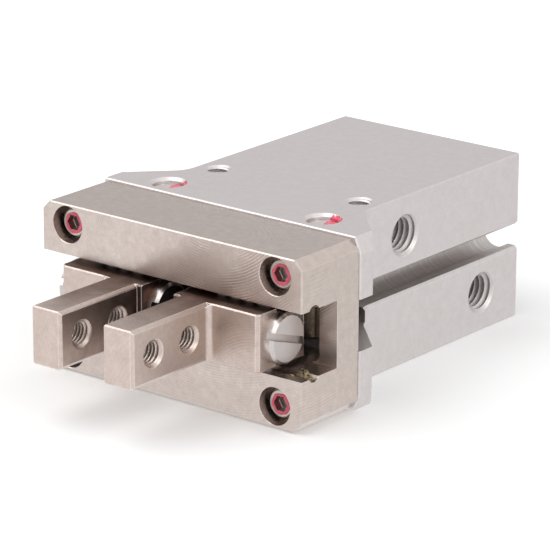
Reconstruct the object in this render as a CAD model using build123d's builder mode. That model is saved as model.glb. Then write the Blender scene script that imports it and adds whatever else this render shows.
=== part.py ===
from build123d import *
from math import asin, cos, degrees, radians, sin, sqrt
import os

os.makedirs("parts", exist_ok=True)

# Pneumatic parallel gripper, millimetres
# +X points to the right jaw, +Y from the jaws to the rear face, +Z up
# The origin is on the bottom face, below the middle of the whole length

# Guide block
guide_width = 40.0
guide_height = 21.0
guide_depth = 10.8
guide_corner = 1.2
guide_edge_break = 0.15
channel_height = 8.35
channel_depth = 6.7
window_end_wall = 2.6
window_corner = 1.2
guide_screw_from_end = 4.0
guide_screw_from_top = 2.55
counterbore_diameter = 4.6
counterbore_edge_break = 0.08
screw_head_recess = 1.2

# Guide screws
screw_diameter = 2.0
screw_head_diameter = 3.8
screw_head_height = 2.0
screw_head_chamfer = 0.3
screw_length = 12.0
screw_hex = 1.8
screw_hex_depth = 1.0
screw_hole_gap = 0.1
thread_gap = 0.02

# Body housing
body_width = 27.8
body_rise = 0.3
body_edge_radius = 0.2
flange_overhang = 0.2
flange_depth = 2.5
flange_side_cut = 0.85
flange_top_cut = 2.05
flange_edge_chamfer = 0.15
shoulder_corner_radius = 0.8
shoulder_root_radius = 3.5
lever_slot_height = 6.45
lever_slot_depth = 9.05
sensor_groove_diameter = 4.3
sensor_groove_mouth = 2.88
sensor_groove_inset = 3.0
sensor_groove_lip = 0.35

# Air ports
port_thread_diameter = 5.0
port_thread_depth = 5.0
port_countersink_diameter = 5.4
port_passage_diameter = 1.6
port_height = 5.75
front_port_from_bore = 4.0
rear_port_from_cap = 1.0

# Mounting threads
mount_thread_diameter = 3.0
mount_countersink_diameter = 3.4
face_mount_spacing = 22.0
face_mount_from_guide = 11.8
face_mount_depth = 5.5
rear_mount_spacing_x = 21.0
rear_mount_spacing_z = 15.6
rear_mount_depth = 4.5

# Cylinder
bore_diameter = 16.0
bore_from_guide = 13.2
seal_pocket_diameter = 10.0
seal_pocket_depth = 3.0
cap_seat_diameter = 16.4
cap_length = 5.0
cap_gap = 0.02
cap_from_rear = 1.7
ring_groove_depth = 0.3
snap_ring_thickness = 0.8
snap_ring_width = 1.5
snap_ring_gap_angle = 40.0
o_ring_groove_depth = 0.9
o_ring_groove_width = 1.5
seat_gap = 0.03
bumper_thickness = 1.0

# Piston and rod
rod_diameter = 6.0
rod_gap = 0.04
rod_spigot_diameter = 3.0
rod_neck_diameter = 2.6
rod_head_length = 1.3
piston_rear_clearance = 2.5
nose_diameter = 10.0
nose_length = 4.2
front_land = 1.6
seal_width = 2.2
rear_land = 1.2
seal_groove_depth = 1.8
magnet_length = 3.0
magnet_bore_diameter = 9.0
holder_thickness = 2.0
piston_gap = 0.05
rod_nut_height = 1.2
rod_nut_width = 5.0
open_bumper_gap = 0.2

# Levers
pivot_from_end = 8.0
pivot_from_guide = 3.3
shaft_diameter = 4.0
shaft_gap = 0.03
shaft_press_gap = 0.01
shaft_recess = 0.7
shaft_countersink_diameter = 4.75
lever_thickness = 6.0
hub_radius = 3.2
finger_tip_from_front = 5.8
finger_tip_radius = 1.5
finger_arm_half_width = 1.15
rod_tip_from_axis = 2.6
rod_tip_radius = 1.2
rod_arm_half_width = 0.9
arm_root_half_width = 2.3
arm_straight_length = 3.0
tip_gap = 0.05

# Fingers
finger_travel = 3.0
finger_height = 7.15
finger_reach = 15.7
arm_inner_x = 3.2
arm_thickness = 4.6
base_inner_x = 2.5
base_end_clearance = 0.4
base_front_y = -2.1
base_rear_gap = 0.2
lever_slot_clear_depth = 0.3
arm_edge_chamfer = 0.4
arm_tip_chamfer = 0.35
front_edge_break = 0.15
base_end_chamfer = 0.4
arm_root_radius = 0.8
jaw_thread_diameter = 3.0
jaw_countersink_diameter = 3.5
jaw_hole_from_tip = 3.7
jaw_hole_spacing = 6.4

# Ball rows
ball_diameter = 2.0
ball_gap = 0.04
ball_groove_gap = 0.05
ball_groove_depth = 0.55
ball_count = 4
ball_row_y = 2.35

# Stopper screws
stopper_head_diameter = 6.35
stopper_head_height = 1.4
stopper_head_chamfer = 0.35
stopper_shank_diameter = 3.0
stopper_shank_length = 2.6
stopper_y = 1.9
stopper_slot_width = 0.9
stopper_slot_depth = 0.8
stopper_slot_turn = 18.0

# Lever arms and their swing, half of it each side of square
x_pivot = guide_width / 2 - pivot_from_end
finger_arm_length = guide_depth + pivot_from_guide - finger_tip_from_front
rod_arm_length = x_pivot - rod_tip_from_axis
half_swing = degrees(asin(finger_travel / 2 / finger_arm_length))
piston_travel = 2 * rod_arm_length * sin(radians(half_swing))

# The housing is as long as its bore, piston, stroke and cap need
piston_length = nose_length + front_land + seal_width + rear_land + magnet_length + holder_thickness
front_room = bumper_thickness + open_bumper_gap + piston_travel
cylinder_length = front_room + piston_length + piston_rear_clearance + cap_length
body_length = bore_from_guide + cylinder_length + cap_from_rear

# Derived places along Y
whole_length = finger_reach + guide_depth + body_length
y_tip = -whole_length / 2
y_guide = y_tip + finger_reach
y_flange = y_guide + guide_depth
y_rear = y_flange + body_length
y_slot_end = y_flange + lever_slot_depth
y_bore = y_flange + bore_from_guide
y_pivot = y_flange + pivot_from_guide
y_cap_rear = y_rear - cap_from_rear
y_cap_front = y_cap_rear - cap_length
y_front_port = y_bore + front_port_from_bore
y_rear_port = y_cap_front - rear_port_from_cap
y_base_rear = y_guide + channel_depth - base_rear_gap
y_ball = y_guide + ball_row_y
y_stopper = y_guide + stopper_y

# Derived heights and widths
body_height = guide_height + 2 * body_rise
z_mid = body_height / 2
base_outer_x = guide_width / 2 - finger_travel - stopper_head_height - base_end_clearance
guide_screw_spacing_x = guide_width - 2 * guide_screw_from_end
guide_screw_spacing_z = guide_height - 2 * guide_screw_from_top
flange_width = guide_width + 2 * flange_overhang
half_width = body_width / 2
x_groove = half_width - sensor_groove_inset
ball_groove_radius = ball_diameter / 2 + ball_groove_gap
ball_z = channel_height / 2 + ball_groove_depth - ball_groove_radius

# Where the levers' tips sit at rest
x_lever_slot = x_pivot - finger_travel / 2
y_rod_groove = y_pivot + rod_arm_length * sin(radians(half_swing))
lever_slot_width = 2 * (finger_tip_radius + tip_gap)
y_lever_slot = y_pivot - finger_arm_length - finger_tip_radius - lever_slot_clear_depth
rod_groove_width = 2 * (rod_tip_radius + tip_gap)

# Piston places at rest, which is with the jaws closed and the piston to the rear
y_piston = y_bore + front_room
y_land = y_piston + nose_length
y_seal = y_land + front_land
y_magnet = y_seal + seal_width + rear_land
y_holder = y_magnet + magnet_length
y_piston_rear = y_holder + holder_thickness
y_rod_front = y_rod_groove - rod_groove_width / 2 - rod_head_length

print("piston travel", round(piston_travel, 4), "lever swing", round(2 * half_swing, 4))
print("rear chamber at rest", round(y_cap_front - y_piston_rear, 3))


def cross(y):
    """The plane across the gripper at y, which looks at its front; extruding it by minus goes to the rear."""
    return Plane(origin=(0, y, z_mid), x_dir=(1, 0, 0), z_dir=(0, -1, 0))


def side(x):
    """The plane along the gripper at x, with local x along Y; extruding it by plus goes along +X."""
    return Plane(origin=(x, 0, z_mid), x_dir=(0, 1, 0), z_dir=(1, 0, 0))


def save(part, name):
    part.label = name
    export_step(part, f"parts/{name}.step")


# Guide block: plated steel, with a channel for both fingers and a window behind it for the levers
with BuildPart() as guide_block:
    with BuildSketch(cross(y_guide)) as guide_profile:
        Rectangle(guide_width, guide_height)
        chamfer(guide_profile.vertices(), guide_corner)
    extrude(amount=-guide_depth)
    chamfer(guide_block.faces().sort_by(Axis.Y)[0].outer_wire().edges(), guide_edge_break)
    with BuildSketch(cross(y_guide)):
        Rectangle(guide_width, channel_height)
    extrude(amount=-channel_depth, mode=Mode.SUBTRACT)
    with BuildSketch(cross(y_guide + channel_depth)):
        RectangleRounded(guide_width - 2 * window_end_wall, channel_height, window_corner)
    extrude(amount=-(guide_depth - channel_depth), mode=Mode.SUBTRACT)
    with BuildSketch(side(-guide_width / 2)):
        with GridLocations(0, 2 * ball_z, 1, 2):
            with Locations((y_ball, 0)):
                Circle(ball_groove_radius)
    extrude(amount=guide_width, mode=Mode.SUBTRACT)
    with BuildSketch(cross(y_guide)):
        with GridLocations(guide_screw_spacing_x, guide_screw_spacing_z, 2, 2):
            Circle(counterbore_diameter / 2)
    extrude(amount=-(screw_head_recess + screw_head_height), mode=Mode.SUBTRACT)
    with BuildSketch(cross(y_guide)):
        with GridLocations(guide_screw_spacing_x, guide_screw_spacing_z, 2, 2):
            Circle(screw_diameter / 2 + screw_hole_gap)
    extrude(amount=-guide_depth, mode=Mode.SUBTRACT)
    mouths = guide_block.edges().filter_by(GeomType.CIRCLE)
    chamfer(mouths.filter_by_position(Axis.Y, y_guide - 0.01, y_guide + 0.01), counterbore_edge_break)
save(guide_block.part, "guide_block")


# Guide screws: four socket head cap screws that clamp the guide block to the flange
with BuildPart() as guide_screws:
    y_head = y_guide + screw_head_recess
    with BuildSketch(cross(y_head)):
        with GridLocations(guide_screw_spacing_x, guide_screw_spacing_z, 2, 2):
            Circle(screw_head_diameter / 2)
    extrude(amount=-screw_head_height)
    chamfer(guide_screws.faces().group_by(Axis.Y)[0].edges(), screw_head_chamfer)
    with BuildSketch(cross(y_head + screw_head_height)):
        with GridLocations(guide_screw_spacing_x, guide_screw_spacing_z, 2, 2):
            Circle(screw_diameter / 2)
    extrude(amount=-screw_length)
    with BuildSketch(cross(y_head)):
        with GridLocations(guide_screw_spacing_x, guide_screw_spacing_z, 2, 2):
            RegularPolygon(screw_hex / 2, 6, major_radius=False)
    extrude(amount=-screw_hex_depth, mode=Mode.SUBTRACT)
save(guide_screws.part, "guide_screws")


# Body housing: aluminium, with the flange in front and the cylinder behind it
with BuildPart() as body_housing:
    # Plan outline, with the shoulder at 45 degrees from the flange down to the body's sides
    y_shoulder = y_flange + flange_depth
    y_root = y_shoulder + (flange_width - body_width) / 2
    with BuildSketch(Plane.XY) as outline:
        with BuildLine():
            Polyline(
                (-half_width, y_rear), (half_width, y_rear), (half_width, y_root),
                (flange_width / 2, y_shoulder), (flange_width / 2, y_flange), (-flange_width / 2, y_flange),
                (-flange_width / 2, y_shoulder), (-half_width, y_root), close=True,
            )
        make_face()
        middle = outline.vertices().filter_by_position(Axis.Y, y_shoulder - 0.01, y_root + 0.01)
        fillet(middle.group_by(Axis.Y)[0], shoulder_corner_radius)
        roots = outline.vertices().filter_by_position(Axis.Y, y_root - 0.01, y_root + 0.01)
        fillet(roots, shoulder_root_radius)
    extrude(amount=body_height)

    # Slanted cuts on the flange's four outer corners
    with BuildSketch(cross(y_flange)) as flange_profile:
        with BuildLine():
            outer_x = flange_width / 2
            Polyline(
                (outer_x - flange_side_cut, z_mid), (outer_x, z_mid - flange_top_cut),
                (outer_x, flange_top_cut - z_mid), (outer_x - flange_side_cut, -z_mid),
                (flange_side_cut - outer_x, -z_mid), (-outer_x, flange_top_cut - z_mid),
                (-outer_x, z_mid - flange_top_cut), (flange_side_cut - outer_x, z_mid), close=True,
            )
        make_face()
    extrude(amount=-body_length, mode=Mode.INTERSECT)
    chamfer(body_housing.faces().sort_by(Axis.Y)[0].outer_wire().edges(), flange_edge_chamfer)
    long_edges = body_housing.edges().filter_by(Axis.Y)
    fillet(long_edges.filter_by(lambda e: e.length > body_length / 2), body_edge_radius)

    # Slot for the levers, open at the front and at both sides
    with BuildSketch(cross(y_flange)):
        Rectangle(flange_width, lever_slot_height)
    extrude(amount=-lever_slot_depth, mode=Mode.SUBTRACT)

    # Sensor grooves: round, with a narrow mouth in each side
    with BuildSketch(cross(y_flange)):
        for way in (-1, 1):
            with Locations((way * x_groove, 0)):
                Circle(sensor_groove_diameter / 2)
            with Locations((way * (x_groove + flange_width / 2) / 2, 0)):
                Rectangle(flange_width / 2 - x_groove, sensor_groove_mouth)
    extrude(amount=-body_length, mode=Mode.SUBTRACT)
    mouth_edges = body_housing.edges().filter_by(Axis.Y).filter_by_position(
        Axis.Z, z_mid - sensor_groove_mouth / 2 - 0.01, z_mid + sensor_groove_mouth / 2 + 0.01
    )
    side_edges = mouth_edges.filter_by(lambda e: abs(abs(e.center().X) - half_width) < 0.01)
    chamfer(side_edges, sensor_groove_lip)

    # Cylinder bore, seal pocket, rod hole, cap seat and the groove of the snap ring
    y_ring_end = y_cap_rear + snap_ring_thickness + 2 * seat_gap
    for start, end, diameter in (
        (y_slot_end, y_rear, rod_diameter + 2 * rod_gap),
        (y_bore - seal_pocket_depth, y_rear, seal_pocket_diameter),
        (y_bore, y_rear, bore_diameter),
        (y_cap_front, y_rear, cap_seat_diameter),
        (y_cap_rear, y_ring_end, cap_seat_diameter + 2 * ring_groove_depth),
    ):
        with BuildSketch(cross(start)):
            Circle(diameter / 2)
        extrude(amount=start - end, mode=Mode.SUBTRACT)

    # Holes of the lever shafts, through from top to bottom, and the mounting threads beside them
    with BuildSketch(Plane.XY):
        with Locations((-x_pivot, y_pivot), (x_pivot, y_pivot)):
            Circle(shaft_diameter / 2)
    extrude(amount=body_height, mode=Mode.SUBTRACT)
    mount_thread = (mount_thread_diameter / 2, mount_countersink_diameter / 2)
    bottom = Plane(origin=(0, 0, 0), x_dir=(1, 0, 0), z_dir=(0, 0, -1))
    for plane in (Plane.XY.offset(body_height), bottom):
        turn = plane.z_dir.Z
        with Locations(plane):
            with Locations((-x_pivot, turn * y_pivot), (x_pivot, turn * y_pivot)):
                CounterSinkHole(shaft_diameter / 2, shaft_countersink_diameter / 2, shaft_recess, 90)
            y_face = turn * (y_flange + face_mount_from_guide)
            with Locations((-face_mount_spacing / 2, y_face), (face_mount_spacing / 2, y_face)):
                CounterSinkHole(*mount_thread, face_mount_depth, 90)

    # Air ports in the right side, each with a passage into its end of the bore
    for y, z in ((y_front_port, port_height), (y_rear_port, -port_height)):
        with Locations(side(half_width)):
            with Locations((y, z)):
                CounterSinkHole(
                    port_thread_diameter / 2, port_countersink_diameter / 2, port_thread_depth, 90
                )
                Hole(port_passage_diameter / 2, half_width - bore_diameter / 4)

    # Mounting threads in the rear face
    with Locations(Plane(origin=(0, y_rear, z_mid), x_dir=(1, 0, 0), z_dir=(0, 1, 0))):
        with GridLocations(rear_mount_spacing_x, rear_mount_spacing_z, 2, 2):
            CounterSinkHole(*mount_thread, rear_mount_depth, 90)

    # Threads of the guide screws
    with BuildSketch(cross(y_flange)):
        with GridLocations(guide_screw_spacing_x, guide_screw_spacing_z, 2, 2):
            Circle(screw_diameter / 2 + thread_gap)
    y_screw_end = y_guide + screw_head_recess + screw_head_height + screw_length
    extrude(amount=y_flange - y_screw_end, mode=Mode.SUBTRACT)
save(body_housing.part, "body_housing")


def ring(y, length, outer, inner):
    """A plain round ring or disc about the cylinder's axis, from y to the rear."""
    with BuildSketch(cross(y)) as profile:
        Circle(outer / 2)
        if inner:
            Circle(inner / 2, mode=Mode.SUBTRACT)
    extrude(profile.sketch, amount=-length)


# Rod seal: rubber ring in the pocket in front of the bore
with BuildPart() as rod_seal:
    ring(y_bore - seal_pocket_depth + seat_gap, seal_pocket_depth - 2 * seat_gap - bumper_thickness / 2,
         seal_pocket_diameter - 2 * seat_gap, rod_diameter + 2 * rod_gap)
    chamfer(rod_seal.edges().filter_by(GeomType.CIRCLE).group_by(SortBy.RADIUS)[-1], 0.2)
save(rod_seal.part, "rod_seal")

# Seal retainer: thin steel washer that holds the rod seal in its pocket
with BuildPart() as seal_retainer:
    ring(y_bore - bumper_thickness / 2, bumper_thickness / 2 - seat_gap,
         seal_pocket_diameter - 2 * cap_gap, rod_diameter + 4 * rod_gap)
save(seal_retainer.part, "seal_retainer")

# Front bumper: rubber washer that the piston meets when the jaws are open
with BuildPart() as front_bumper:
    ring(y_bore, bumper_thickness, bore_diameter - 4 * seat_gap, rod_diameter + 4 * rod_gap)
    chamfer(front_bumper.edges().filter_by(GeomType.CIRCLE).group_by(SortBy.RADIUS)[-1], 0.2)
save(front_bumper.part, "front_bumper")

# Rear cap: aluminium plug with a groove for its O-ring and a shallow turned recess
with BuildPart() as rear_cap:
    ring(y_cap_front, cap_length, cap_seat_diameter - 2 * cap_gap, 0)
    y_cap_groove = y_cap_front + (cap_length - o_ring_groove_width) / 2
    with BuildSketch(cross(y_cap_groove)):
        Circle(cap_seat_diameter / 2)
        Circle(cap_seat_diameter / 2 - o_ring_groove_depth, mode=Mode.SUBTRACT)
    extrude(amount=-o_ring_groove_width, mode=Mode.SUBTRACT)
    chamfer(rear_cap.faces().sort_by(Axis.Y)[0].edges(), 0.3)
    with BuildSketch(cross(y_cap_rear)):
        Circle(bore_diameter / 4)
    extrude(amount=cap_length / 4, mode=Mode.SUBTRACT)
save(rear_cap.part, "rear_cap")

# Rear cap O-ring
with BuildPart() as rear_cap_o_ring:
    ring(y_cap_groove + seat_gap, o_ring_groove_width - 2 * seat_gap, cap_seat_diameter - 2 * cap_gap,
         cap_seat_diameter - 2 * o_ring_groove_depth + 2 * seat_gap)
    chamfer(rear_cap_o_ring.edges().filter_by(GeomType.CIRCLE), 0.25)
save(rear_cap_o_ring.part, "rear_cap_o_ring")

# Snap ring: open spring steel ring behind the rear cap
with BuildPart() as snap_ring:
    ring_outer = cap_seat_diameter + 2 * ring_groove_depth - 2 * seat_gap
    ring(y_cap_rear + seat_gap, snap_ring_thickness, ring_outer, ring_outer - 2 * snap_ring_width)
    with BuildSketch(cross(y_cap_rear)):
        with BuildLine():
            reach = ring_outer
            half_gap = radians(snap_ring_gap_angle / 2)
            Polyline(
                (0, 0), (-reach * sin(half_gap), reach * cos(half_gap)),
                (reach * sin(half_gap), reach * cos(half_gap)), close=True,
            )
        make_face()
    extrude(amount=-cap_from_rear, mode=Mode.SUBTRACT)
    # Ears with the holes for the ring pliers
    ear_radius = ring_outer / 2 - snap_ring_width - 0.3
    with BuildSketch(cross(y_cap_rear + seat_gap)):
        for way in (-1, 1):
            ear_angle = way * (half_gap + radians(9))
            with Locations((ear_radius * sin(ear_angle), ear_radius * cos(ear_angle))):
                Circle(1.15)
    extrude(amount=-snap_ring_thickness)
    with BuildSketch(cross(y_cap_rear + seat_gap)):
        for way in (-1, 1):
            ear_angle = way * (half_gap + radians(9))
            with Locations((ear_radius * sin(ear_angle), ear_radius * cos(ear_angle))):
                Circle(0.55)
    extrude(amount=-snap_ring_thickness, mode=Mode.SUBTRACT)
save(snap_ring.part, "snap_ring")

# Piston rod: steel, with the groove that the two levers' tips sit in
with BuildPart() as piston_rod:
    ring(y_rod_front, y_piston - y_rod_front, rod_diameter, 0)
    chamfer(piston_rod.faces().sort_by(Axis.Y)[0].edges(), 0.3)
    ring(y_piston, y_piston_rear + rod_nut_height - y_piston, rod_spigot_diameter, 0)
    with BuildSketch(cross(y_rod_groove - rod_groove_width / 2)):
        Circle(rod_diameter / 2)
        Circle(rod_neck_diameter / 2, mode=Mode.SUBTRACT)
    extrude(amount=-rod_groove_width, mode=Mode.SUBTRACT)
save(piston_rod.part, "piston_rod")

# Piston: aluminium, with a nose that leaves the front port free
with BuildPart() as piston:
    piston_diameter = bore_diameter - 2 * piston_gap
    ring(y_piston, nose_length, nose_diameter, 0)
    chamfer(piston.faces().sort_by(Axis.Y)[0].edges(), 0.4)
    ring(y_land, y_magnet - y_land, piston_diameter, 0)
    ring(y_magnet, magnet_length, magnet_bore_diameter, 0)
    with BuildSketch(cross(y_seal)):
        Circle(bore_diameter / 2)
        Circle(bore_diameter / 2 - seal_groove_depth, mode=Mode.SUBTRACT)
    extrude(amount=-seal_width, mode=Mode.SUBTRACT)
    with BuildSketch(cross(y_piston)):
        Circle(rod_spigot_diameter / 2 + thread_gap)
    extrude(amount=-(y_holder - y_piston), mode=Mode.SUBTRACT)
save(piston.part, "piston")

# Piston seal: rubber ring
with BuildPart() as piston_seal:
    ring(y_seal + seat_gap, seal_width - 2 * seat_gap, bore_diameter - 2 * cap_gap,
         bore_diameter - 2 * seal_groove_depth + 2 * seat_gap)
    chamfer(piston_seal.edges().filter_by(GeomType.CIRCLE).group_by(SortBy.RADIUS)[-1], 0.4)
save(piston_seal.part, "piston_seal")

# Sensor magnet: ring on the piston's rear spigot
with BuildPart() as sensor_magnet:
    ring(y_magnet + seat_gap, magnet_length - 2 * seat_gap, piston_diameter - 0.4,
         magnet_bore_diameter + 2 * seat_gap)
save(sensor_magnet.part, "sensor_magnet")

# Magnet holder: disc that clamps the magnet against the piston
with BuildPart() as magnet_holder:
    ring(y_holder, holder_thickness, piston_diameter, rod_spigot_diameter + 2 * thread_gap)
    with BuildSketch(cross(y_piston_rear - rod_nut_height / 2)):
        Circle(rod_nut_width)
        Circle(rod_nut_width - 1.2, mode=Mode.SUBTRACT)
    extrude(amount=-rod_nut_height / 2, mode=Mode.SUBTRACT)
save(magnet_holder.part, "magnet_holder")

# Rod nut: round nut that holds the piston on its rod
with BuildPart() as rod_nut:
    with BuildSketch(cross(y_piston_rear)):
        RegularPolygon(rod_nut_width / 2, 6, major_radius=False)
        Circle(rod_spigot_diameter / 2 + thread_gap, mode=Mode.SUBTRACT)
    extrude(amount=-rod_nut_height)
save(rod_nut.part, "rod_nut")


def lever_arm(pivot, direction, length, root_half, half, tip_radius):
    """One arm of a lever in plan: a taper from the hub to a straight neck, with a round tip."""
    ahead = Vector(direction[0], direction[1], 0).normalized()
    across = Vector(-ahead.Y, ahead.X, 0)
    start = Vector(*pivot, 0)
    neck = start + ahead * (length - arm_straight_length)
    tip = start + ahead * length
    with BuildLine() as outline:
        Polyline(
            start + across * root_half, neck + across * half, tip + across * half,
            tip - across * half, neck - across * half, start - across * root_half, close=True,
        )
    make_face(outline.edges())
    with Locations(tip):
        Circle(tip_radius)


for way, name in ((-1, "left"), (1, "right")):
    # Lever shaft: hardened pin across the housing
    with BuildPart() as lever_shaft:
        with BuildSketch(Plane.XY.offset(shaft_recess)):
            with Locations((way * x_pivot, y_pivot)):
                Circle(shaft_diameter / 2 - shaft_press_gap)
        extrude(amount=body_height - 2 * shaft_recess)
        chamfer(lever_shaft.edges().filter_by(GeomType.CIRCLE), 0.2)
    save(lever_shaft.part, f"lever_shaft_{name}")

    # Lever: steel bell crank, from the rod's groove to the slot in the finger's base
    with BuildPart() as lever:
        pivot = (way * x_pivot, y_pivot)
        swing = radians(half_swing)
        to_finger = (-way * sin(swing), -cos(swing))
        to_rod = (-way * cos(swing), sin(swing))
        with BuildSketch(Plane.XY.offset(z_mid - lever_thickness / 2)) as lever_plan:
            lever_arm(pivot, to_finger, finger_arm_length, arm_root_half_width, finger_arm_half_width,
                      finger_tip_radius)
            lever_arm(pivot, to_rod, rod_arm_length, arm_root_half_width, rod_arm_half_width, rod_tip_radius)
            with Locations(pivot):
                Circle(hub_radius)
                Circle(shaft_diameter / 2 + shaft_gap, mode=Mode.SUBTRACT)
        extrude(amount=lever_thickness)
    save(lever.part, f"lever_{name}")

    # Finger: plated steel, an arm with two tapped holes on a base that slides in the guide's channel
    with BuildPart() as finger:
        with BuildSketch(Plane.XY.offset(z_mid - finger_height / 2)) as finger_plan:
            with BuildLine():
                Polyline(
                    (way * arm_inner_x, y_tip), (way * (arm_inner_x + arm_thickness), y_tip),
                    (way * (arm_inner_x + arm_thickness), y_guide + base_front_y),
                    (way * base_outer_x, y_guide + base_front_y), (way * base_outer_x, y_base_rear),
                    (way * base_inner_x, y_base_rear), (way * base_inner_x, y_guide + base_front_y),
                    (way * arm_inner_x, y_guide + base_front_y), close=True,
                )
            make_face()
            arm_root = (way * (arm_inner_x + arm_thickness), y_guide + base_front_y, 0)
            fillet(finger_plan.vertices().sort_by_distance(arm_root)[0], arm_root_radius)
            base_end = (way * base_outer_x, y_guide + base_front_y, 0)
            chamfer(finger_plan.vertices().sort_by_distance(base_end)[0], base_end_chamfer)
            chamfer(finger_plan.vertices().group_by(Axis.Y)[0], arm_tip_chamfer)
        extrude(amount=finger_height)
        flats = finger.faces().filter_by(Axis.Z)
        chamfer(flats.edges().filter_by_position(Axis.Y, y_tip - 1, y_guide - 0.01), front_edge_break)
        # Wider bevels on the arm's four long edges, each the corner of a square run along it
        with BuildSketch(cross(y_tip)):
            with Locations((way * (arm_inner_x + arm_thickness / 2), 0)):
                with GridLocations(arm_thickness, finger_height, 2, 2):
                    Rectangle(arm_edge_chamfer * sqrt(2), arm_edge_chamfer * sqrt(2), rotation=45)
        extrude(amount=y_tip - y_guide - base_front_y, mode=Mode.SUBTRACT)
        with BuildSketch(Plane.XY.offset(z_mid - finger_height / 2)):
            with Locations((way * x_lever_slot, (y_lever_slot + y_base_rear) / 2)):
                Rectangle(lever_slot_width, y_base_rear - y_lever_slot)
        extrude(amount=finger_height, mode=Mode.SUBTRACT)
        with BuildSketch(side(way * base_inner_x)):
            with GridLocations(0, 2 * ball_z, 1, 2):
                with Locations((y_ball, 0)):
                    Circle(ball_groove_radius)
        extrude(amount=way * (base_outer_x - base_inner_x), mode=Mode.SUBTRACT)
        for x, inward in ((base_inner_x, way), (base_outer_x, -way)):
            with BuildSketch(side(way * x)):
                with Locations((y_stopper, 0)):
                    Circle(stopper_shank_diameter / 2 + thread_gap)
            extrude(amount=inward * stopper_shank_length, mode=Mode.SUBTRACT)
        y_hole = y_tip + jaw_hole_from_tip
        for x, facing in ((arm_inner_x, -way), (arm_inner_x + arm_thickness, way)):
            plane = Plane(origin=(way * x, 0, z_mid), x_dir=(0, facing, 0), z_dir=(facing, 0, 0))
            with Locations(plane):
                with Locations((facing * y_hole, 0), (facing * (y_hole + jaw_hole_spacing), 0)):
                    CounterSinkHole(jaw_thread_diameter / 2, jaw_countersink_diameter / 2, arm_thickness, 90)
    save(finger.part, f"finger_{name}")

    # Stopper screws: slotted heads on both ends of the finger's base, which keep the balls in their grooves
    with BuildPart() as stopper_screws:
        for x, outward in ((base_inner_x, -way), (base_outer_x, way)):
            with BuildSketch(side(way * x)):
                with Locations((y_stopper, 0)):
                    Circle(stopper_head_diameter / 2)
            extrude(amount=outward * stopper_head_height)
            with BuildSketch(side(way * x)):
                with Locations((y_stopper, 0)):
                    Circle(stopper_shank_diameter / 2)
            extrude(amount=-outward * (stopper_shank_length - thread_gap))
        ends = stopper_screws.edges().filter_by(GeomType.CIRCLE).group_by(Axis.X)
        chamfer(ends[0] + ends[-1], stopper_head_chamfer)
        for x, outward in ((base_inner_x, -way), (base_outer_x, way)):
            with BuildSketch(side(way * x + outward * stopper_head_height)):
                with Locations(Location((y_stopper, 0, 0), (0, 0, -stopper_slot_turn))):
                    Rectangle(stopper_head_diameter, stopper_slot_width)
            extrude(amount=-outward * stopper_slot_depth, mode=Mode.SUBTRACT)
    save(stopper_screws.part, f"stopper_screws_{name}")

    # Ball rows: each runs half as far as its finger, so at rest it is a quarter of the travel further out
    pitch = ball_diameter + ball_gap
    x_row = (base_inner_x + base_outer_x) / 2 + finger_travel / 4
    for height, level in ((ball_z, "upper"), (-ball_z, "lower")):
        with BuildPart() as ball_row:
            with Locations(*[
                (way * (x_row + (n - (ball_count - 1) / 2) * pitch), y_ball, z_mid + height)
                for n in range(ball_count)
            ]):
                Sphere(ball_diameter / 2)
        save(ball_row.part, f"balls_{name}_{level}")
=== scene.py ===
import math
import random
import bpy
from mathutils import Matrix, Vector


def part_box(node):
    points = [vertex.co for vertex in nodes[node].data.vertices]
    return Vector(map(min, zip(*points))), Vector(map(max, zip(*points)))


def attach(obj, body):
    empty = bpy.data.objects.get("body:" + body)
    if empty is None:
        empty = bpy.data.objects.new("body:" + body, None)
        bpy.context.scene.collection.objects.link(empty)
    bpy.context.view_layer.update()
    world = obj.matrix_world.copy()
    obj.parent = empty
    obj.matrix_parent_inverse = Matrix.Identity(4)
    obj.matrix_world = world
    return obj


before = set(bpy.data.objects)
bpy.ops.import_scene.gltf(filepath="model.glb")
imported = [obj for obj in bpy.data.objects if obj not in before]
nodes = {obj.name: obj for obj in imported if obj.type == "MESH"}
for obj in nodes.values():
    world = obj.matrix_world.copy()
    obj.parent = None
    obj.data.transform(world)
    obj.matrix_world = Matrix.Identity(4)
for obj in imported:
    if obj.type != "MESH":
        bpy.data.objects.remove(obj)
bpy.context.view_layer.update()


# Body housing
# An aluminium block, milled and drilled, with broached sensor grooves along its sides, then bead
# blasted and clear anodised, so it looks pale and fine matte, with crisp edges that catch the light.
MM = 0.001


def box_in_mm(node):
    """A CAD node's lowest and highest corners, in millimetres."""
    return [[v / MM for v in corner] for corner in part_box(node)]


body_low, body_high = box_in_mm("body_housing")
body_front, body_rear, body_top = body_low[1], body_high[1], body_high[2]
body_side = 13.9
middle_height = 10.8


def colour(code):
    """An sRGB hex colour as the linear one that a socket wants."""
    parts = [int(code[n:n + 2], 16) / 255 for n in (1, 3, 5)]
    linear = [c / 12.92 if c <= 0.04045 else ((c + 0.055) / 1.055) ** 2.4 for c in parts]
    return (*linear, 1.0)


def add_node(tree, kind, inputs=(), **settings):
    """One shader node. An input is a value, a socket, or a node for that node's first output."""
    node = tree.nodes.new(kind)
    for name, value in settings.items():
        setattr(node, name, value)
    for socket, value in dict(inputs).items():
        if isinstance(value, bpy.types.Node):
            value = value.outputs[0]
        if isinstance(value, bpy.types.NodeSocket):
            tree.links.new(value, node.inputs[socket])
        else:
            node.inputs[socket].default_value = value
    return node


def new_material(name):
    """An empty material: its tree and its output."""
    material = bpy.data.materials.new(name)
    material.use_nodes = True
    material.node_tree.nodes.clear()
    return material, material.node_tree, material.node_tree.nodes.new("ShaderNodeOutputMaterial")


# A Mix node's sockets for colours: the two that go in and the one that comes out
COLOUR_A, COLOUR_B, MIXED = 6, 7, 2


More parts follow.
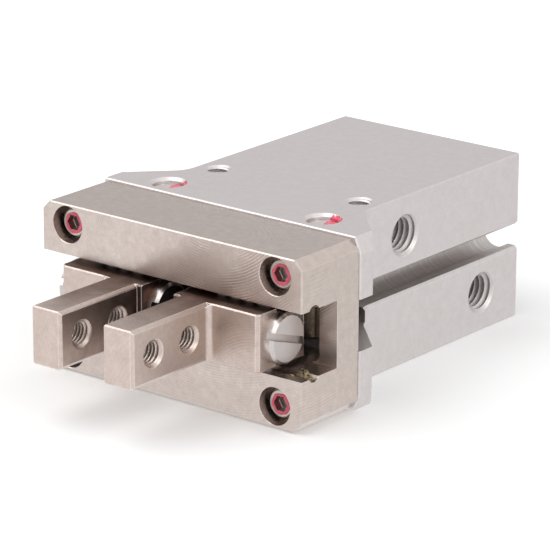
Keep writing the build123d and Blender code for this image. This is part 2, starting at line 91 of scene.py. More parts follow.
def machined_metal(name, plain, stained, edge_highlight, roughness, spread, edge, grain, grain_depth,
                   marks=None, mark_depth=0.0, mark_tone=0.0, root_shade=None):
    """A machined metal with uneven tone, fine grain, tool marks, and edges painted paler: a painted
    highlight, with some real wear where nicks break it.

    The edge's width and the depths are in millimetres, and the grain is in cells per millimetre.
    Real grain is finer than the render can show, so it is drawn at up to 6 cells per millimetre.
    """
    material, tree, output = new_material(name)
    place = add_node(tree, "ShaderNodeTexCoord").outputs["Object"]
    cloud = add_node(tree, "ShaderNodeTexNoise",
                     {"Vector": place, "Scale": 0.9 / MM, "Detail": 6.0, "Roughness": 0.85})
    fine = add_node(tree, "ShaderNodeTexNoise",
                    {"Vector": place, "Scale": grain / MM, "Detail": 2.0, "Roughness": 0.6})
    stain = cloud
    if marks:
        # Dirt stays in the tool marks, so they show in the tone as well as in the relief
        lines = marks(tree, place)
        stain = add_node(tree, "ShaderNodeMath", {0: lines, 1: mark_tone, 2: cloud},
                         operation="MULTIPLY_ADD")
    tone = add_node(tree, "ShaderNodeMix",
                    {0: stain, COLOUR_A: colour(plain), COLOUR_B: colour(stained)},
                    data_type="RGBA")
    # Painted shade: a darker brown laid over the tone where shade falls
    if root_shade:
        shade, shade_colour = root_shade(tree, place)
        tone = add_node(tree, "ShaderNodeMix",
                        {0: shade, COLOUR_A: tone.outputs[MIXED], COLOUR_B: colour(shade_colour)},
                        data_type="RGBA")
    # The rounded normal of an edge differs from the flat one, and there a paler colour is painted
    # in: a painted highlight along the edge, broken by nicks of real wear
    rounded_edge = add_node(tree, "ShaderNodeBevel", {"Radius": edge * MM}, samples=6)
    flat = add_node(tree, "ShaderNodeNewGeometry").outputs["Normal"]
    turn = add_node(tree, "ShaderNodeVectorMath", {0: rounded_edge, 1: flat}, operation="DOT_PRODUCT")
    edge_glint = add_node(tree, "ShaderNodeMapRange",
                      {"Value": turn.outputs["Value"], "From Min": 0.995, "From Max": 0.86})
    nicks = add_node(tree, "ShaderNodeMapRange",
                     {"Value": fine, "From Min": 0.3, "From Max": 0.62, "To Min": 0.45})
    share = add_node(tree, "ShaderNodeMath", {0: edge_glint, 1: nicks}, operation="MULTIPLY")
    base = add_node(tree, "ShaderNodeMix",
                    {0: share, COLOUR_A: tone.outputs[MIXED], COLOUR_B: colour(edge_highlight)},
                    data_type="RGBA")
    rough = add_node(tree, "ShaderNodeMapRange",
                     {"Value": cloud, "From Min": 0.3, "From Max": 0.7,
                      "To Min": roughness - spread, "To Max": roughness + spread})
    normal = rounded_edge
    if marks:
        normal = add_node(tree, "ShaderNodeBump", {"Height": lines, "Normal": normal,
                                                   "Strength": 1.0, "Distance": mark_depth * MM})
    normal = add_node(tree, "ShaderNodeBump", {"Height": fine, "Normal": normal,
                                               "Strength": 1.0, "Distance": grain_depth * MM})
    shader = add_node(tree, "ShaderNodeBsdfPrincipled",
                      {"Base Color": base.outputs[MIXED], "Metallic": 1.0,
                       "Roughness": rough, "Normal": normal})
    tree.links.new(shader.outputs[0], output.inputs[0])
    return material


def broach_lines(tree, place):
    """Lines that the broach left across the sensor grooves, in the middle of the two sides."""
    groove_mouth, groove_half_height = 13.6, 2.4
    split = add_node(tree, "ShaderNodeSeparateXYZ", {0: place}).outputs
    along = add_node(tree, "ShaderNodeCombineXYZ", {"Y": split["Y"]})
    lines = add_node(tree, "ShaderNodeTexNoise",
                     {"Vector": along, "Scale": 2.0 / MM, "Detail": 4.0, "Roughness": 0.7})
    spread = add_node(tree, "ShaderNodeMapRange",
                      {"Value": lines, "From Min": 0.38, "From Max": 0.62})
    beside = add_node(tree, "ShaderNodeMath", {0: split["X"]}, operation="ABSOLUTE")
    inside = add_node(tree, "ShaderNodeMath", {0: beside, 1: groove_mouth * MM},
                      operation="LESS_THAN")
    level = add_node(tree, "ShaderNodeMath",
                     {0: split["Z"], 1: middle_height * MM, 2: groove_half_height * MM},
                     operation="COMPARE")
    groove = add_node(tree, "ShaderNodeMath", {0: inside, 1: level}, operation="MULTIPLY")
    return add_node(tree, "ShaderNodeMath", {0: spread, 1: groove}, operation="MULTIPLY")


def dress(material, *names):
    """Gives CAD nodes their finish."""
    for name in names:
        data = nodes[name].data
        data.materials.clear()
        data.materials.append(material)


# Clear anodised aluminium, bead blasted: pale neutral grey, matte, with a faint sparkle of grain
anodised_body = machined_metal("clear_anodised_blasted_aluminium", "#DCD7D8", "#BFB9B6", "#F4F2F1",
                               roughness=0.48, spread=0.03, edge=0.06, grain=5.6, grain_depth=0.012,
                               marks=broach_lines, mark_depth=0.012, mark_tone=0.95)
dress(anodised_body, "body_housing")


def start_mesh():
    """Leaves nothing selected and no mesh open, so that the next primitive is alone."""
    if bpy.context.object and bpy.context.object.mode != "OBJECT":
        bpy.ops.object.mode_set(mode="OBJECT")
    bpy.ops.object.select_all(action="DESELECT")


def apply_place():
    """Puts the selected pieces' places into their meshes."""
    bpy.ops.object.transform_apply(location=True, rotation=True, scale=True)


def apply_modifiers(piece):
    """Makes a piece's modifiers part of its mesh."""
    bpy.context.view_layer.objects.active = piece
    for modifier in list(piece.modifiers):
        bpy.ops.object.modifier_apply(modifier=modifier.name)


def cut_away(piece, tool):
    """Cuts the tool's shape out of the piece, then takes the tool away."""
    cut = piece.modifiers.new("cut", "BOOLEAN")
    cut.operation, cut.solver, cut.object = "DIFFERENCE", "EXACT", tool
    apply_modifiers(piece)
    bpy.data.objects.remove(tool, do_unlink=True)


def join(pieces):
    """Joins pieces into one mesh."""
    start_mesh()
    for piece in pieces:
        piece.select_set(True)
    bpy.context.view_layer.objects.active = pieces[0]
    bpy.ops.object.join()
    return bpy.context.object


def settle(piece, name, body, material, angle=30.0):
    """Puts a finished piece's place into its mesh, smooths it and hands it to the frame."""
    start_mesh()
    piece.select_set(True)
    bpy.context.view_layer.objects.active = piece
    apply_place()
    bpy.ops.object.shade_smooth_by_angle(angle=math.radians(angle))
    piece.name = piece.data.name = name
    piece.data.materials.clear()
    piece.data.materials.append(material)
    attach(piece, body)


# Tapped threads stand inside the CAD holes, which are drawn at the thread's outer size
def tapped_thread(radius, pitch, depth, mouth_radius, both_ends=False):
    """The ridge of one tapped thread about Z, from its mouth at the origin down to its depth."""
    # A 60 degree ridge: its crest stands half a pitch in from the wall, and its root is buried
    side = pitch * 0.96
    ridge_height = side * math.sqrt(3) / 2
    crest = radius - pitch * 0.52
    # A hole that goes right through has one turn more, which runs out of its far end
    spare_turns = 1 if both_ends else 0
    start = (crest + ridge_height * 2 / 3, 0, pitch * 0.3 - depth - spare_turns * pitch)
    steps_per_turn = 28
    start_mesh()
    bpy.ops.mesh.primitive_circle_add(vertices=3, radius=side / math.sqrt(3) * MM, fill_type="NGON",
                                      location=[v * MM for v in start],
                                      rotation=(math.radians(90), math.radians(-90), 0))
    ridge = bpy.context.object
    apply_place()
    helix = ridge.modifiers.new("helix", "SCREW")
    helix.axis, helix.angle, helix.screw_offset = "Z", math.radians(360), pitch * MM
    helix.iterations = math.ceil(depth / pitch) + spare_turns
    helix.steps = helix.render_steps = steps_per_turn
    apply_modifiers(ridge)
    bpy.ops.object.mode_set(mode="EDIT")
    bpy.ops.mesh.select_all(action="SELECT")
    bpy.ops.mesh.remove_doubles(threshold=0.001 * MM)
    bpy.ops.mesh.fill_holes(sides=4)
    bpy.ops.mesh.select_all(action="SELECT")
    bpy.ops.mesh.normals_make_consistent(inside=False)
    bpy.ops.object.mode_set(mode="OBJECT")
    # The countersink is cut after the thread, so it trims the first turns to a cone
    above, ease = 2.0, 0.02
    height = mouth_radius + above
    for level, way in ((0.0, 1), (-depth, -1))[:1 + spare_turns]:
        start_mesh()
        bpy.ops.mesh.primitive_cone_add(vertices=2 * steps_per_turn, radius1=0,
                                        radius2=(height + ease) * MM, depth=height * MM,
                                        location=(0, 0, (level + way * (above - height / 2)) * MM),
                                        rotation=(math.radians(90 - 90 * way), 0, 0))
        cut_away(ridge, bpy.context.object)
    return ridge


def place_thread(ridge, mouth, turn):
    """A copy of a thread with its own mesh, its mouth in millimetres and its axis turned."""
    copy = ridge.copy()
    copy.data = ridge.data.copy()
    bpy.context.collection.objects.link(copy)
    copy.location = [v * MM for v in mouth]
    copy.rotation_euler = [math.radians(v) for v in turn]
    return copy


# M3 mounting threads: two in the top face, two in the bottom face, four in the rear face
m3_thread = tapped_thread(radius=1.5, pitch=0.5, depth=5.2, mouth_radius=1.7)
face_x, face_y = 11, body_front + 11.8
rear_x, rear_z = 10.5, 7.8
face_threads = [place_thread(m3_thread, (x, face_y, z), turn)
                for x in (-face_x, face_x)
                for z, turn in ((body_top, (0, 0, 0)), (0, (180, 0, 0)))]
rear_threads = [place_thread(m3_thread, (x, body_rear, middle_height + z), (-90, 0, 0))
                for x in (-rear_x, rear_x) for z in (-rear_z, rear_z)]
settle(join(face_threads), "threads_top_and_bottom", "housing", anodised_body)
settle(join(rear_threads), "threads_rear", "housing", anodised_body)
bpy.data.objects.remove(m3_thread, do_unlink=True)

# M5 air port threads in the right side
m5_thread = tapped_thread(radius=2.5, pitch=0.8, depth=4.6, mouth_radius=2.7)
port_places = ((9.851, 16.55), (26.149, 5.05))
port_threads = [place_thread(m5_thread, (body_side, y, z), (0, 90, 0)) for y, z in port_places]
settle(join(port_threads), "threads_air_ports", "housing", anodised_body)
bpy.data.objects.remove(m5_thread, do_unlink=True)


# Cylinder parts
# Turned aluminium piston, rear cap and magnet holder, black rubber seals, a dark bonded magnet and
# a phosphated snap ring. Only the cap and its ring show, from behind.
turned_aluminium = machined_metal("turned_aluminium", "#D6D5D3", "#CCCAC8", "#F6F6F6",
                                  roughness=0.3, spread=0.04, edge=0.1, grain=4.0,
                                  grain_depth=0.001)
dress(turned_aluminium, "piston", "magnet_holder", "rear_cap")
# A phosphate coat is a dark, dull grey; its edges wear, and they are painted brighter as a painted
# highlight
spring_steel = machined_metal("phosphated_spring_steel", "#5A5652", "#4A4743", "#9A9692",
                              roughness=0.42, spread=0.05, edge=0.08, grain=6.0, grain_depth=0.002)
dress(spring_steel, "snap_ring")


def uneven_surface(name, base, second, roughness, grain, relief, detail=3.0, ior=1.5,
                   ramp=(0.0, 1.0)):
    """Rubber, lacquer or grease: two tones and a relief of one grain, in cells per millimetre.

    The ramp is the part of the grain's range over which the first tone turns to the second.
    """
    material, tree, output = new_material(name)
    place = add_node(tree, "ShaderNodeTexCoord").outputs["Object"]
    fine = add_node(tree, "ShaderNodeTexNoise",
                    {"Vector": place, "Scale": grain / MM, "Detail": detail})
    share = add_node(tree, "ShaderNodeMapRange",
                     {"Value": fine, "From Min": ramp[0], "From Max": ramp[1]})
    tone = add_node(tree, "ShaderNodeMix",
                    {0: share, COLOUR_A: colour(base), COLOUR_B: colour(second)}, data_type="RGBA")
    bump = add_node(tree, "ShaderNodeBump", {"Height": fine, "Distance": relief * MM})
    shader = add_node(tree, "ShaderNodeBsdfPrincipled",
                      {"Base Color": tone.outputs[MIXED], "Roughness": roughness, "IOR": ior,
                       "Normal": bump})
    tree.links.new(shader.outputs[0], output.inputs[0])
    return material


seal_rubber = uneven_surface("moulded_nitrile_rubber", "#1B1B1B", "#262525",
                             roughness=0.55, grain=3.0, relief=0.004)
dress(seal_rubber, "rod_seal", "front_bumper", "piston_seal", "rear_cap_o_ring")
bonded_magnet = uneven_surface("bonded_magnet", "#3A3836", "#2C2A29",
                               roughness=0.7, grain=4.0, relief=0.006)
dress(bonded_magnet, "sensor_magnet")


# Levers, their shafts and the piston rod
# Hardened steel, ground: cool grey with a soft shine. The shafts are pressed in below the top face
# and locked with red lacquer, brushed on one side of each.
hardened_steel = machined_metal("ground_hardened_steel", "#A9A6A2", "#97938F", "#E4E2DF",
                                roughness=0.3, spread=0.05, edge=0.1, grain=5.0, grain_depth=0.002)
dress(hardened_steel, "piston_rod")
# The levers are drawn dark and brown
dark_lever_steel = machined_metal("dark_brown_lever_steel", "#74675A", "#2B241F", "#8E8372",
                               roughness=0.3, spread=0.08, edge=0.04, grain=2.6, grain_depth=0.008)
dress(dark_lever_steel, "lever_left", "lever_right")
# The shafts' ends are faced flat and nearly even; their pale colour is partly the faced steel and
# partly a painted reflection of the bright countersink round them
pin_steel = machined_metal("ground_pin_steel", "#E2E0DD", "#D2CFCB", "#F4F3F1",
                           roughness=0.36, spread=0.05, edge=0.03, grain=5.0, grain_depth=0.0015)
dress(pin_steel, "lever_shaft_left", "lever_shaft_right")

# Locking lacquer, brushed on: glossy and uneven in colour and thickness. What has run into the
# sockets gets a darker copy of it, painted shade for the inside of the socket.
screw_lacquer = uneven_surface("red_screw_lacquer", "#EE6A82", "#D03A56",
                               roughness=0.32, grain=1.8, relief=0.03)
shaded_socket_lacquer = uneven_surface("shaded_red_screw_lacquer", "#8A2229", "#5C1417",
                               roughness=0.32, grain=1.8, relief=0.03)
shaft_top = box_in_mm("lever_shaft_left")[1][2]


def add_skin(piece, thickness):
    """Gives an open mesh its thickness, half on each side."""
    skin = piece.modifiers.new("skin", "SOLIDIFY")
    skin.thickness, skin.offset = thickness * MM, 0.0
    apply_modifiers(piece)


def brushed_film(x, y, first, last, steps, ends, seed):
    """A film of lacquer round an upright axis, between two angles.

    Each step is a radius and a height above the shaft, and each streak runs up them to its own end.
    """
    columns, streaks, thickness = 60, 400, 0.03
    start_mesh()
    bpy.ops.mesh.primitive_circle_add(vertices=360 * columns // (last - first),
                                      radius=steps[0][0] * MM,
                                      location=(0, 0, (shaft_top + steps[0][1]) * MM))
    film = bpy.context.object
    apply_place()
    bpy.ops.object.mode_set(mode="EDIT")
    bpy.ops.mesh.select_all(action="SELECT")
    before = steps[0][0]
    for radius, rise in steps[1:]:
        bpy.ops.mesh.extrude_edges_move()
        bpy.ops.transform.resize(value=(radius / before, radius / before, 1),
                                 center_override=(0, 0, 0))
        bpy.ops.object.mode_set(mode="OBJECT")
        for vertex in film.data.vertices:
            if vertex.select:
                vertex.co.z = (shaft_top + rise) * MM
        bpy.ops.object.mode_set(mode="EDIT")
        before = radius
    bpy.ops.mesh.select_all(action="DESELECT")
    bpy.ops.object.mode_set(mode="OBJECT")
    shake = random.Random(seed)
    reach = [shake.choice(ends) for _ in range(streaks)]
    for vertex in film.data.vertices:
        angle = math.degrees(math.atan2(vertex.co.y, vertex.co.x))
        column = int((angle + 360) * columns / (last - first))
        away = math.hypot(vertex.co.x, vertex.co.y)
        ring = min(range(len(steps)), key=lambda n: abs(away - steps[n][0] * MM))
        share = (angle - first) / (last - first)
        # Where the brush lands and lifts, its streaks are four steps shorter
        shorter = 4 if min(share, 1 - share) < 0.06 else 0
        vertex.select = not 0 <= share <= 1 or ring > reach[column % streaks] - shorter
    bpy.ops.object.mode_set(mode="EDIT")
    bpy.ops.mesh.delete(type="VERT")
    bpy.ops.mesh.select_all(action="SELECT")
    bpy.ops.mesh.normals_make_consistent(inside=False)
    bpy.ops.object.mode_set(mode="OBJECT")
    film.location = (x * MM, y * MM, 0)
    add_skin(film, thickness)
    return film


# The countersink starts 0.375 mm below the face, above the pin, and the brush has missed most of
# the left one's wall
countersink_steps = ((1.97, 0.03), (1.97, 0.14), (1.975, 0.3), (2.05, 0.39),
                     (2.13, 0.47), (2.21, 0.55), (2.29, 0.63), (2.36, 0.7))
pin_steps = ((0.2, 0.03), (0.6, 0.03), (1.0, 0.03), (1.35, 0.03),
             (1.6, 0.03), (1.75, 0.03), (1.86, -0.02), (1.94, -0.08))
sides = ((-1, "left"), (1, "right"))
for (way, side), last in zip(sides, (66, 102)):
    low, high = box_in_mm(f"lever_shaft_{side}")
    shaft_x, shaft_y = (low[0] + high[0]) / 2, (low[1] + high[1]) / 2
    on_wall = brushed_film(shaft_x, shaft_y, first=22, last=last, steps=countersink_steps,
                           ends=(4, 5, 6, 7, 7, 7), seed=20 + way)
    on_pin = brushed_film(shaft_x, shaft_y, first=-44, last=104, steps=pin_steps, ends=(7,),
                          seed=30 + way)
    settle(join([on_wall, on_pin]), f"shaft_lacquer_{side}", "housing",
           screw_lacquer)


# Guide block
# Tool steel, milled and nickel plated: a warm grey that turns pinkish beige in the light, with
# faint arcs from the face mill and edges broken by hand.
guide_front = box_in_mm("guide_block")[0][1]
# A Wave texture's second output is its grey height
WAVE_HEIGHT = 1


def wave_scale(spacing):
    """A Wave texture's Scale for bands that lie this many millimetres apart."""
    return math.pi / 10 / (spacing * MM)


def mill_arcs(tree, place):
    """Arcs of a face mill's path, in patches, about a centre far to one side.

    Real ones are finer than the render can show, so they are drawn 0.33 mm apart.
    """
    moved = add_node(tree, "ShaderNodeMapping",
                     {"Vector": place, "Location": (-6 * MM, 16 * MM, -30 * MM)})
    arcs = add_node(tree, "ShaderNodeTexWave",
                    {"Vector": moved, "Scale": wave_scale(0.3307), "Distortion": 2.5,
                     "Detail": 2.0, "Detail Scale": 0.4},
                    wave_type="RINGS", rings_direction="SPHERICAL", wave_profile="SIN")
    patch = add_node(tree, "ShaderNodeTexNoise",
                     {"Vector": place, "Scale": 0.11 / MM, "Detail": 1.0})
    strong = add_node(tree, "ShaderNodeMapRange",
                      {"Value": patch, "From Min": 0.44, "From Max": 0.62})
    swing = add_node(tree, "ShaderNodeMath", {0: arcs.outputs[WAVE_HEIGHT], 1: 0.5},
                     operation="SUBTRACT")
    return add_node(tree, "ShaderNodeMath", {0: swing, 1: strong}, operation="MULTIPLY")


plated_steel = machined_metal("nickel_plated_steel", "#DACEC8", "#A79A93", "#E6DDD6",
                              roughness=0.3, spread=0.05, edge=0.085, grain=5.2, grain_depth=0.007,
                              marks=mill_arcs, mark_depth=0.012, mark_tone=0.22)
dress(plated_steel, "guide_block")


# Guide screws
# Four steel socket head cap screws, sunk in counterbores, each with red locking lacquer brushed
# round its socket, from where some has run in on one side.
screw_steel = machined_metal("plain_screw_steel", "#C4BFBA", "#ADA7A2", "#EFECE8",
                             roughness=0.3, spread=0.05, edge=0.12, grain=6.0, grain_depth=0.002)
dress(screw_steel, "guide_screws", "rod_nut", "seal_retainer")

head_front = box_in_mm("guide_screws")[0][1]
socket_radius, socket_depth = 1.8 / math.sqrt(3), 0.9
film_radius, film_depth, film_points = 1.33, 0.1, 40
hexagon_turn = (math.radians(90), math.radians(30), 0)
screw_places = ((-16, 18.75), (16, 18.75), (-16, 2.85), (16, 2.85))
for number, (x, z) in enumerate(screw_places):
    start_mesh()
    bpy.ops.mesh.primitive_cylinder_add(vertices=film_points, radius=film_radius * MM,
                                        depth=film_depth * MM, end_fill_type="NGON",
                                        location=(x * MM, (head_front - 0.03) * MM, z * MM),
                                        rotation=(math.radians(90), 0, 0))
    film = bpy.context.object
    apply_place()
    # The brushed ring is uneven and a little off the socket's middle: each point moves by the mean
    # of three drifts, in millimetres, over a radius of 1.5
    shake = random.Random(40 + number)
    drift = [shake.uniform(-0.14, 0.12) for _ in range(film_points)]
    for n, vertex in enumerate(film.data.vertices):
        point = n // 2
        reach = 1 + sum(drift[(point + k) % film_points] for k in range(3)) / 3 / 1.5
        vertex.co.x = (x + 0.05) * MM + (vertex.co.x - x * MM) * reach
        vertex.co.z = (z - 0.03) * MM + (vertex.co.z - z * MM) * reach
    start_mesh()
    bpy.ops.mesh.primitive_cylinder_add(vertices=6, radius=socket_radius * 1.01 * MM, depth=1 * MM,
                                        location=(x * MM, head_front * MM, z * MM),
                                        rotation=hexagon_turn)
    cut_away(film, bpy.context.object)
    edge = film.modifiers.new("edge", "BEVEL")
    edge.width, edge.segments, edge.limit_method = 0.025 * MM, 2, "ANGLE"
    apply_modifiers(film)
    # What has run into the socket lies on its walls on one side, in the darker copy of the lacquer,
    # as painted shade
    start_mesh()
    bpy.ops.mesh.primitive_cylinder_add(vertices=6, radius=(socket_radius - 0.012) * MM,
                                        depth=socket_depth * MM, end_fill_type="NOTHING",
                                        location=(x * MM, (head_front + socket_depth / 2) * MM,
                                                  z * MM),
                                        rotation=hexagon_turn)
    run = bpy.context.object
    apply_place()
    bpy.ops.object.mode_set(mode="EDIT")
    bpy.ops.mesh.select_all(action="DESELECT")
    bpy.ops.object.mode_set(mode="OBJECT")
    for face in run.data.polygons:
        face.select = face.center.x > (x - 0.2) * MM
    bpy.ops.object.mode_set(mode="EDIT")
    bpy.ops.mesh.delete(type="FACE")
    bpy.ops.object.mode_set(mode="OBJECT")
    add_skin(run, 0.02)
    settle(film, f"screw_lacquer_{number + 1}", "housing", screw_lacquer)
    settle(run, f"socket_lacquer_{number + 1}", "housing", shaded_socket_lacquer)


# Balls, fingers and their threads
# Polished bearing balls; fingers of the same plated steel as the guide, milled finer, each with two
# through threads for its jaw.
ball_steel = machined_metal("polished_ball_steel", "#CFCDCB", "#C4C2C0", "#E8E8E8",
                            roughness=0.14, spread=0.03, edge=0.02, grain=3.0, grain_depth=0.0004)
dress(ball_steel, "balls_left_upper", "balls_left_lower", "balls_right_upper", "balls_right_lower")


def finger_lines(tree, place):
    """Upright grinding lines, and arcs of a small cutter low on the base, 0.37 mm apart."""
    drawn = add_node(tree, "ShaderNodeMapping",
                     {"Vector": place, "Scale": (6.5 / MM, 6.5 / MM, 0.26 / MM)})
    lines = add_node(tree, "ShaderNodeTexNoise", {"Vector": drawn, "Scale": 1.0, "Detail": 2.0})
    moved = add_node(tree, "ShaderNodeMapping",
                     {"Vector": place, "Location": (-15.5 * MM, 20 * MM, -3 * MM)})
    arcs = add_node(tree, "ShaderNodeTexWave",
                    {"Vector": moved, "Scale": wave_scale(0.3696), "Distortion": 0.8,
                     "Detail": 1.0, "Detail Scale": 0.5},
                    wave_type="RINGS", rings_direction="SPHERICAL", wave_profile="SIN")
    arc_share = 0.45
    return add_node(tree, "ShaderNodeMix",
                    {"Factor": arc_share, "A": lines, "B": arcs.outputs[WAVE_HEIGHT]})


def painted_root_shade(tree, place):
    """Painted shade on the finger's top and on the inner sides between the two, darker towards the
    base.
    """
    shade_start_y, shade_full_y, ragged, arm_inner_side = -27, -12, 12, 3.25
    split = add_node(tree, "ShaderNodeSeparateXYZ", {0: place}).outputs
    cloud = add_node(tree, "ShaderNodeTexNoise",
                     {"Vector": place, "Scale": 0.35 / MM, "Detail": 3.0})
    along = add_node(tree, "ShaderNodeMath", {0: cloud, 1: ragged * MM, 2: split["Y"]},
                     operation="MULTIPLY_ADD")
    toward_base = add_node(tree, "ShaderNodeMapRange", {"Value": along, "From Min": shade_start_y * MM,
                                                "From Max": shade_full_y * MM, "To Min": 0.08})
    normal = add_node(tree, "ShaderNodeNewGeometry").outputs["Normal"]
    facing = add_node(tree, "ShaderNodeSeparateXYZ", {0: normal}).outputs
    upward = add_node(tree, "ShaderNodeMapRange",
                      {"Value": facing["Z"], "From Min": 0.75, "From Max": 0.95})
    beside = add_node(tree, "ShaderNodeMath", {0: split["X"]}, operation="ABSOLUTE")
    between = add_node(tree, "ShaderNodeMapRange",
                       {"Value": beside, "From Min": (arm_inner_side + 0.1) * MM,
                        "From Max": arm_inner_side * MM, "To Min": 0.04})
    where = add_node(tree, "ShaderNodeMath", {0: upward, 1: between}, operation="MAXIMUM")
    shade = add_node(tree, "ShaderNodeMath", {0: toward_base, 1: where}, operation="MULTIPLY")
    # The colour of the painted shade
    return shade, "#5A4034"


# The fingers carry painted shade on their tops and between them, towards the base
finger_steel = machined_metal("ground_plated_steel", "#DED1CA", "#AE9C92", "#FBF6F2",
                              roughness=0.38, spread=0.05, edge=0.16, grain=5.2, grain_depth=0.006,
                              marks=finger_lines, mark_depth=0.011, mark_tone=0.12,
                              root_shade=painted_root_shade)
dress(finger_steel, "finger_left", "finger_right")

arm_thread = tapped_thread(radius=1.5, pitch=0.5, depth=4.6, mouth_radius=1.75, both_ends=True)
finger_tip = box_in_mm("finger_left")[0][1]
arm_side, holes_from_tip = 7.8, (3.7, 10.1)
for way, side in sides:
    holes = [place_thread(arm_thread, (way * arm_side, finger_tip + from_tip, middle_height),
                          (0, 90 * way, 0)) for from_tip in holes_from_tip]
    settle(join(holes), f"threads_finger_{side}", f"finger_{side}", finger_steel)
bpy.data.objects.remove(arm_thread, do_unlink=True)


# Stopper screws
# Slotted stainless discs on both ends of each finger's base, turned and left bright, with the fine
# rings of the lathe tool on their faces.
stopper_y = guide_front + 1.9


def lathe_rings(tree, place):
    """Rings about the discs' axis, which runs along X.

    They lie 0.1 mm apart on the real ones and are drawn 0.25 mm apart, so that they show.
    """
    moved = add_node(tree, "ShaderNodeMapping",
                     {"Vector": place, "Location": (0, -stopper_y * MM, -middle_height * MM)})
    rings = add_node(tree, "ShaderNodeTexWave",
                     {"Vector": moved, "Scale": wave_scale(0.2513), "Distortion": 0.6,
                      "Detail": 1.0},
                     wave_type="RINGS", rings_direction="X", wave_profile="SIN")
    return rings.outputs[WAVE_HEIGHT]


stopper_steel = machined_metal("turned_stainless_steel", "#C8C1BE", "#BAB3B0", "#F2F0EE",
                               roughness=0.3, spread=0.04, edge=0.05, grain=5.2, grain_depth=0.002,
                               marks=lathe_rings, mark_depth=0.0012)
dress(stopper_steel, "stopper_screws_left", "stopper_screws_right")


# Grease
# A little yellow-brown grease that the balls have pushed out of their grooves, at the ends of the
# channel. It lies in thin wet smears and crumbs, dark olive with pale tan speckles that are partly
# its own tone and partly painted highlights.
rail_grease = uneven_surface("ball_groove_grease", "#4A3C24", "#B5A47C", roughness=0.14, grain=2.2,
                             relief=0.05, detail=4.0, ior=1.48, ramp=(0.42, 0.62))
groove_y, groove_rise, groove_radius = guide_front + 2.35, 3.675, 1.05
smear_count, pressed_in = 46, 0.04
for way, side in sides:
    smears = []
    shake = random.Random(70 + way)
    for n in range(smear_count):
        # Most of it lies in the lower groove and the rest in the upper one
        level = (-1, -1, 1)[n % 3]
        away = shake.uniform(-0.95, 1.0)
        x = way * shake.uniform(16.9, 19.3)
        start_mesh()
        bpy.ops.mesh.primitive_ico_sphere_add(subdivisions=3, radius=1 * MM)
        smear = bpy.context.object
        bpy.ops.object.mode_set(mode="EDIT")
        bpy.ops.transform.vertex_random(offset=0.3 * MM, uniform=1.0, normal=0.0,
                                        seed=200 + 20 * n + way)
        bpy.ops.mesh.vertices_smooth(factor=0.5, repeat=2)
        bpy.ops.object.mode_set(mode="OBJECT")
        smear.scale = (shake.uniform(0.22, 0.7), shake.uniform(0.14, 0.42),
                       shake.uniform(0.05, 0.12))
        # Each smear is pressed a little into the groove's wall and lies along it
        height = groove_rise + math.sqrt(groove_radius ** 2 - away ** 2) - pressed_in
        smear.location = (x * MM, (groove_y + away) * MM, (middle_height + level * height) * MM)
        smear.rotation_euler = (level * -math.asin(away / groove_radius), 0, 0)
        smears.append(smear)
    settle(join(smears), f"grease_{side}", "housing", rail_grease, angle=60)


# Studio
# A white floor and a plain white room, one large soft box high above the gripper's front left and
# one weaker one on the right. The camera looks from the photograph's angle.
WHITE = (1, 1, 1, 1)


def ray_kinds(tree):
    """Whether the camera sees a surface, also through glass, and whether a reflection does."""
    path = add_node(tree, "ShaderNodeLightPath").outputs
    seen = add_node(tree, "ShaderNodeMath",
                    {0: path["Is Camera Ray"], 1: path["Is Transmission Ray"]},
                    operation="MAXIMUM")
    return seen, path["Is Glossy Ray"]


start_mesh()
bpy.ops.mesh.primitive_plane_add(size=20, location=(0, 0, -0.02 * MM))
floor = bpy.context.object
floor.name = "floor"
material, tree, output = new_material("white_studio_floor")
seen, mirrored = ray_kinds(tree)
place = add_node(tree, "ShaderNodeTexCoord").outputs["Object"]
# The paper is lit white all round the gripper; near it the lift is small, so that the shadow stays
away = add_node(tree, "ShaderNodeVectorMath", {0: place}, operation="LENGTH").outputs["Value"]
whiter = add_node(tree, "ShaderNodeMapRange", {"Value": away, "From Min": 0.04, "From Max": 0.2,
                                               "To Min": 0.11, "To Max": 0.45})
lift = add_node(tree, "ShaderNodeMath", {0: seen, 1: whiter}, operation="MULTIPLY")
matte = add_node(tree, "ShaderNodeBsdfDiffuse", {"Color": (0.93, 0.93, 0.93, 1)})
glow = add_node(tree, "ShaderNodeEmission", {"Color": WHITE, "Strength": lift})
paper = add_node(tree, "ShaderNodeAddShader", {0: matte, 1: glow})
# Metal mirrors an evenly lit floor, a little brighter in front
forward = add_node(tree, "ShaderNodeSeparateXYZ", {0: place}).outputs["Y"]
strength = add_node(tree, "ShaderNodeMapRange", {"Value": forward, "From Min": -0.045,
                                                 "From Max": 0.01, "To Min": 1.3, "To Max": 1.06})
even = add_node(tree, "ShaderNodeEmission", {"Color": WHITE, "Strength": strength})
share = add_node(tree, "ShaderNodeMath", {0: mirrored, 1: 0.85}, operation="MULTIPLY")
shown = add_node(tree, "ShaderNodeMixShader", {0: share, 1: paper, 2: even})
tree.links.new(shown.outputs[0], output.inputs[0])
floor.data.materials.append(material)

world = bpy.data.worlds.new("studio")
bpy.context.scene.world = world
world.use_nodes = True
tree = world.node_tree
tree.nodes.clear()
seen, mirrored = ray_kinds(tree)
split = add_node(tree, "ShaderNodeSeparateXYZ",
                 {0: add_node(tree, "ShaderNodeTexCoord").outputs["Generated"]}).outputs
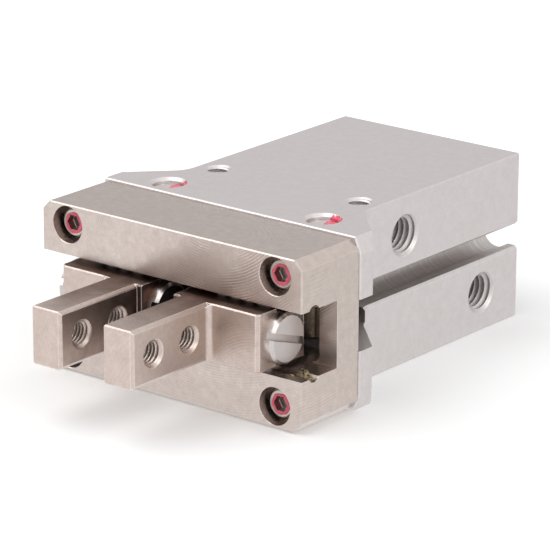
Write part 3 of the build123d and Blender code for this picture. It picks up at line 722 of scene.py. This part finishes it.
# In reflections the room is brighter overhead and to the right; the light that it gives is even
rise = add_node(tree, "ShaderNodeMapRange",
                {"Value": split["Z"], "From Min": 0.35, "From Max": 0.8, "To Min": 0.64})
across = add_node(tree, "ShaderNodeMapRange", {"Value": split["X"], "From Min": -0.6,
                                               "From Max": 0.3, "To Min": 0.72, "To Max": 1.1})
room = add_node(tree, "ShaderNodeMath", {0: rise, 1: across}, operation="MAXIMUM")
shine = add_node(tree, "ShaderNodeMath", {0: room, 1: mirrored}, operation="MULTIPLY")
light = add_node(tree, "ShaderNodeMath", {0: shine, 1: 0.62}, operation="MAXIMUM")
level = add_node(tree, "ShaderNodeMath", {0: light, 1: seen}, operation="MAXIMUM")
background = add_node(tree, "ShaderNodeBackground", {"Color": WHITE, "Strength": level})
tree.links.new(background.outputs[0], add_node(tree, "ShaderNodeOutputWorld").inputs[0])


def soft_box(name, place, aim, size, power):
    """A square area lamp, aimed at a point."""
    start_mesh()
    bpy.ops.object.light_add(type="AREA", location=place)
    lamp = bpy.context.object
    lamp.name = name
    lamp.data.shape, lamp.data.size, lamp.data.energy = "SQUARE", size, power
    east, north, up = (a - p for a, p in zip(aim, place))
    lamp.rotation_euler = (math.atan2(math.hypot(east, north), -up), 0,
                           math.atan2(north, east) - math.pi / 2)


# The key box hangs high, so that it glints on edges but does not whiten flat tops at grazing angles
soft_box("key_soft_box", (-0.28, -0.27, 0.66), (0, 0, 0), 0.75, 3.2)
soft_box("fill_soft_box", (0.5, -0.1, 0.35), (0, 0, 0.01), 0.4, 0.8)

# The camera was fitted to the corners of the guide block and the body: its heading, tilt and roll
heading, tilt, roll = 38.59, 18.03, 0.18
bpy.ops.object.camera_add(location=(258.63 * MM, -322.15 * MM, 145.57 * MM))
camera = bpy.context.object
level_view = Matrix.Rotation(math.radians(heading), 3, "Z")
tilted_view = level_view @ Matrix.Rotation(math.radians(90 - tilt), 3, "X")
camera.rotation_euler = (tilted_view @ Matrix.Rotation(math.radians(roll), 3, "Z")).to_euler()
camera.data.lens, camera.data.sensor_width = 232.47, 36
camera.data.clip_start, camera.data.clip_end = 0.01, 50
bpy.context.scene.camera = camera
bpy.context.scene.view_settings.view_transform = "Standard"
